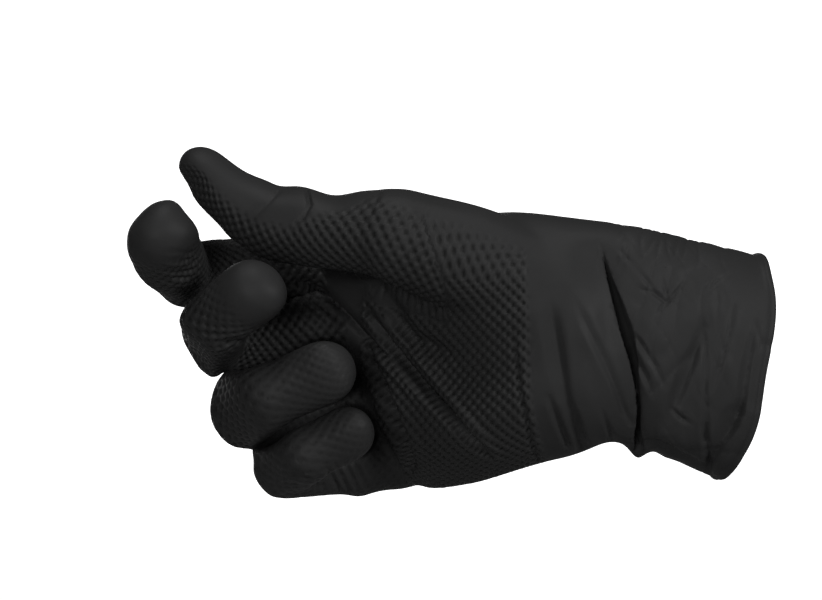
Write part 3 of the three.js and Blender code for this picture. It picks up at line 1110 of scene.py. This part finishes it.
def add_grip_map(mesh):
    """The lattice as UV places, and its strength, from the film's form before its folds"""
    points = values_of(mesh.attributes["plain_place"].data, "vector", 3)
    along, around, rounds, strength = grip_places(points)
    even = values_of(mesh.attributes["evenness"].data, "value")
    corners = values_of(mesh.loops, "vertex_index", 1, np.int64).reshape(-1, 3)
    first = corners[:, :1]
    turns = around[first] + unwrapped(around[corners] - around[first], rounds[first])
    places = np.stack([along[corners], turns], axis=-1)
    mesh.uv_layers.new(name="grip").data.foreach_set("uv", places.astype(np.float32).ravel())
    add_attribute(mesh, "grip_strength", "FLOAT", strength * even)


def diamonds(along, around):
    """Height of the grip's lattice from 0 in its pits to 1 on its broad diamonds"""
    pits = 0.5 - 0.5 * np.cos(2 * math.pi * along) * np.cos(2 * math.pi * around)
    return 1 - pits ** 2


def film_mesh():
    """The film's outside with its folds and grip, and its inside"""
    mesh = smooth_skin()
    points = points_of(mesh)
    normals = normals_of(mesh)
    seen = seen_from_front(mesh, points, normals)
    folded = points + fold_moves(points, normals, seen)
    folded += form_moves(points, normals, seen)
    folded += crumple(points, normals)
    move_points(mesh, folded)
    inner = inner_mesh(mesh)
    normals = normals_of(mesh)
    along, around, rounds, strength = grip_places(points)
    even = evenness(mesh, points, along, around, rounds)
    relief = BACK_RELIEF + (1 - BACK_RELIEF) * seen
    height = (diamonds(along, around) - FILM_LEVEL) * RELIEF * strength * even * relief
    move_points(mesh, folded + height[:, None] * normals)
    add_attribute(mesh, "plain_place", "FLOAT_VECTOR", points)
    add_attribute(mesh, "evenness", "FLOAT", even)
    mesh = modified(mesh, "DECIMATE", {"ratio": KEPT_SHARE, "use_collapse_triangulate": True})
    add_grip_map(mesh)
    return mesh, inner


def inner_mesh(mesh):
    """The film's inside: the folded outside set in, turned inward and thinned out"""
    made = modified(mesh, "DECIMATE", {"ratio": INNER_SHARE})
    move_points(made, points_of(made) - FILM * normals_of(made))
    made.flip_normals()
    return made


def ring_in_order(bm):
    """The open edge's vertices in order round it"""
    edge = next(edge for edge in bm.edges if edge.is_boundary)
    start, vertex = edge.verts
    ring = [start]
    while vertex is not start:
        ring.append(vertex)
        edge = next(other for other in vertex.link_edges if other.is_boundary and other is not edge)
        vertex = edge.other_vert(vertex)
    return ring


def add_bead(bm):
    """The rolled rim: a bead that curls out from the film's edge and back in"""
    ring = ring_in_order(bm)
    count = len(ring)
    edge = np.array([vertex.co for vertex in ring]) / MM
    axis = np.array(MOUTH_AXIS)
    ahead = unit(np.roll(edge, -BEAD_SPAN, axis=0) - np.roll(edge, BEAD_SPAN, axis=0))
    outward = unit(np.cross(ahead, axis))
    if (outward * (edge - edge.mean(axis=0))).sum() < 0:
        outward = -outward
    for _ in range(BEAD_EASE):
        outward = unit(outward + np.roll(outward, 1, axis=0) + np.roll(outward, -1, axis=0))
    centre = edge + (RIM_START - BEAD_RADIUS) * axis - BEAD_INSET * outward
    last = ring
    for step in range(BEAD_STEPS + 1):
        turn = math.radians(BEAD_FROM + BEAD_SWEEP * step / BEAD_STEPS)
        places = centre + BEAD_RADIUS * (math.sin(turn) * outward - math.cos(turn) * axis)
        fresh = [bm.verts.new(place * MM) for place in places]
        for i in range(count):
            after = (i + 1) % count
            bm.faces.new((last[i], last[after], fresh[after], fresh[i]))
        last = fresh


def glove_film():
    """The whole glove: its outside with the rolled rim, and its inside, in one mesh"""
    outer, inner = film_mesh()
    bm = bmesh.new()
    bm.from_mesh(outer)
    add_bead(bm)
    bmesh.ops.recalc_face_normals(bm, faces=bm.faces)
    bm.from_mesh(inner)
    mesh = bpy.data.meshes.new("glove_film")
    bm.to_mesh(mesh)
    bm.free()
    mesh.shade_smooth()
    made = piece("glove_film", mesh)
    made.data.materials.append(nitrile())
    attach(made, "root")
    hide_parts("glove")


# Materials
class Nodes:
    """Short calls for building a node tree; i0, i1 are inputs by number, others by name"""

    def __init__(self, tree):
        self.tree = tree

    def add(self, kind, settings=None, **inputs):
        node = self.tree.nodes.new(kind)
        for key, value in (settings or {}).items():
            setattr(node, key, value)
        for key, value in inputs.items():
            numbered = key[0] == "i" and key[1:].isdigit()
            socket = node.inputs[int(key[1:]) if numbered else key.replace("_", " ")]
            if isinstance(value, bpy.types.NodeSocket):
                self.tree.links.new(value, socket)
            else:
                socket.default_value = value
        return node

    def math(self, operation, first, second=0.0, clamp=False):
        settings = {"operation": operation, "use_clamp": clamp}
        return self.add("ShaderNodeMath", settings, i0=first, i1=second).outputs[0]

    def level(self, value, low, high, to_low=0.0, to_high=1.0, interpolation="LINEAR"):
        """Maps low..high to to_low..to_high"""
        node = self.add("ShaderNodeMapRange", {"interpolation_type": interpolation})
        self.tree.links.new(value, node.inputs["Value"])
        numbers = {"From Min": low, "From Max": high, "To Min": to_low, "To Max": to_high}
        for key, number in numbers.items():
            node.inputs[key].default_value = number
        return node.outputs["Result"]


def grip_height(nodes):
    """The grip's lattice again, as sharp as the picture can show it"""
    place = nodes.add("ShaderNodeUVMap", {"uv_map": "grip"}).outputs["UV"]
    turns = nodes.add("ShaderNodeSeparateXYZ", i0=place)
    waves = []
    for axis in ("X", "Y"):
        angle = nodes.math("MULTIPLY", turns.outputs[axis], 2 * math.pi)
        waves.append(nodes.math("COSINE", angle))
    pits = nodes.level(nodes.math("MULTIPLY", *waves), -1, 1, 1.0, 0.0)
    lattice = nodes.math("SUBTRACT", 1.0, nodes.math("POWER", pits, 2.0))
    strength = nodes.add("ShaderNodeAttribute", {"attribute_name": "grip_strength"}).outputs["Fac"]
    return lattice, strength


def noise(nodes, place, scale, detail=3.0):
    node = nodes.add("ShaderNodeTexNoise", Vector=place, Scale=scale, Detail=detail)
    return node.outputs["Fac"]


def nitrile():
    """Matt black nitrile: faint mottling, painted shade in the grip's pits, a fine orange-peel skin and
    the raised grip
    """
    made = bpy.data.materials.new("nitrile")
    made.use_nodes = True
    tree = made.node_tree
    nodes = Nodes(tree)
    shader = tree.nodes["Principled BSDF"]
    place = nodes.add("ShaderNodeTexCoord").outputs["Object"]
    lattice, strength = grip_height(nodes)
    cloud = noise(nodes, place, MOTTLING_SCALE)
    grain = noise(nodes, place, GRAIN_SCALE, 2.0)
    edge = nodes.level(lattice, *PIT_EDGE, 1.0, 0.0, "SMOOTHSTEP")
    pits = nodes.math("MULTIPLY", edge, strength)
    mottling = nodes.level(cloud, *MOTTLING_NOISE, *MOTTLING_SHADE)
    # Painted shade: the colour of the grip's pits is pulled towards DEEP_BLACK, over the mottling
    shade = nodes.math("SUBTRACT", mottling, nodes.math("MULTIPLY", pits, PIT_PAINTED_SHADE), True)
    colour = nodes.add("ShaderNodeMix", {"data_type": "RGBA"}, i0=shade)
    colour.inputs["A"].default_value = DEEP_BLACK
    colour.inputs["B"].default_value = SOFT_BLACK
    tree.links.new(colour.outputs["Result"], shader.inputs["Base Color"])
    plain = nodes.level(cloud, *MOTTLING_NOISE, *ROUGHNESS)
    rough = nodes.math("ADD", plain, nodes.math("MULTIPLY", pits, PIT_ROUGHNESS))
    tree.links.new(rough, shader.inputs["Roughness"])
    shader.inputs["IOR"].default_value = REFRACTION
    shader.inputs["Specular IOR Level"].default_value = SHEEN
    bump = nodes.add("ShaderNodeBump", **GRIP_BUMP)
    tree.links.new(nodes.math("MULTIPLY", lattice, strength), bump.inputs["Height"])
    fine = nodes.add("ShaderNodeBump", **GRAIN_BUMP)
    tree.links.new(grain, fine.inputs["Height"])
    tree.links.new(bump.outputs["Normal"], fine.inputs["Normal"])
    tree.links.new(fine.outputs["Normal"], shader.inputs["Normal"])
    return made


# Floor, light and camera
def pale_floor():
    """A matt grey that shines white to the camera alone"""
    made = bpy.data.materials.new("pale_floor")
    made.use_nodes = True
    nodes = Nodes(made.node_tree)
    shader = made.node_tree.nodes["Principled BSDF"]
    shader.inputs["Base Color"].default_value = FLOOR_GREY
    shader.inputs["Roughness"].default_value = FLOOR_ROUGHNESS
    shader.inputs["Emission Color"].default_value = (1, 1, 1, 1)
    camera_ray = nodes.add("ShaderNodeLightPath").outputs["Is Camera Ray"]
    made.node_tree.links.new(camera_ray, shader.inputs["Emission Strength"])
    return made


def floor():
    mesh = bpy.data.meshes.new("floor")
    bm = bmesh.new()
    bmesh.ops.create_circle(bm, cap_ends=True, segments=FLOOR_SIDES, radius=FLOOR_RADIUS)
    bmesh.ops.translate(bm, verts=bm.verts, vec=FLOOR_MIDDLE)
    bm.to_mesh(mesh)
    bm.free()
    made = piece("floor", mesh)
    made.data.materials.append(pale_floor())


def area_light(name, place, size, power):
    data = bpy.data.lights.new(name, "AREA")
    data.shape = "DISK"
    data.size = size
    data.energy = power
    made = bpy.data.objects.new(name, data)
    bpy.context.scene.collection.objects.link(made)
    made.location = place
    towards = Vector(GLOVE_MIDDLE) - made.location
    made.rotation_euler = towards.to_track_quat("-Z", "Y").to_euler()


def studio():
    """The lights, and a world that is dim on the glove and white to the camera"""
    for light in LIGHTS:
        area_light(**light)
    world = bpy.data.worlds.new("studio")
    bpy.context.scene.world = world
    world.use_nodes = True
    world.node_tree.nodes.clear()
    nodes = Nodes(world.node_tree)
    camera_ray = nodes.add("ShaderNodeLightPath").outputs["Is Camera Ray"]
    level = nodes.level(camera_ray, 0.0, 1.0, WORLD_LEVEL, WORLD_IN_VIEW)
    background = nodes.add("ShaderNodeBackground", Color=(1, 1, 1, 1), Strength=level)
    output = nodes.add("ShaderNodeOutputWorld")
    world.node_tree.links.new(background.outputs[0], output.inputs["Surface"])


def camera():
    """A long lens that looks along +Y and shows the glove in the photograph's size and place"""
    data = bpy.data.cameras.new("camera")
    data.lens = LENS
    data.sensor_width = SENSOR
    made = bpy.data.objects.new("camera", data)
    bpy.context.scene.collection.objects.link(made)
    middle_x, middle_z = from_photo(0.5 * PHOTO_SIZE[0], 0.5 * PHOTO_SIZE[1])
    away = PHOTO_SIZE[0] * PIXEL * data.lens / data.sensor_width
    made.location = Vector((middle_x, -away, middle_z)) * MM
    made.rotation_euler = (math.pi / 2, 0, 0)
    bpy.context.scene.camera = made


glove_film()
floor()
studio()
camera()
bpy.context.scene.view_settings.view_transform = "Standard"
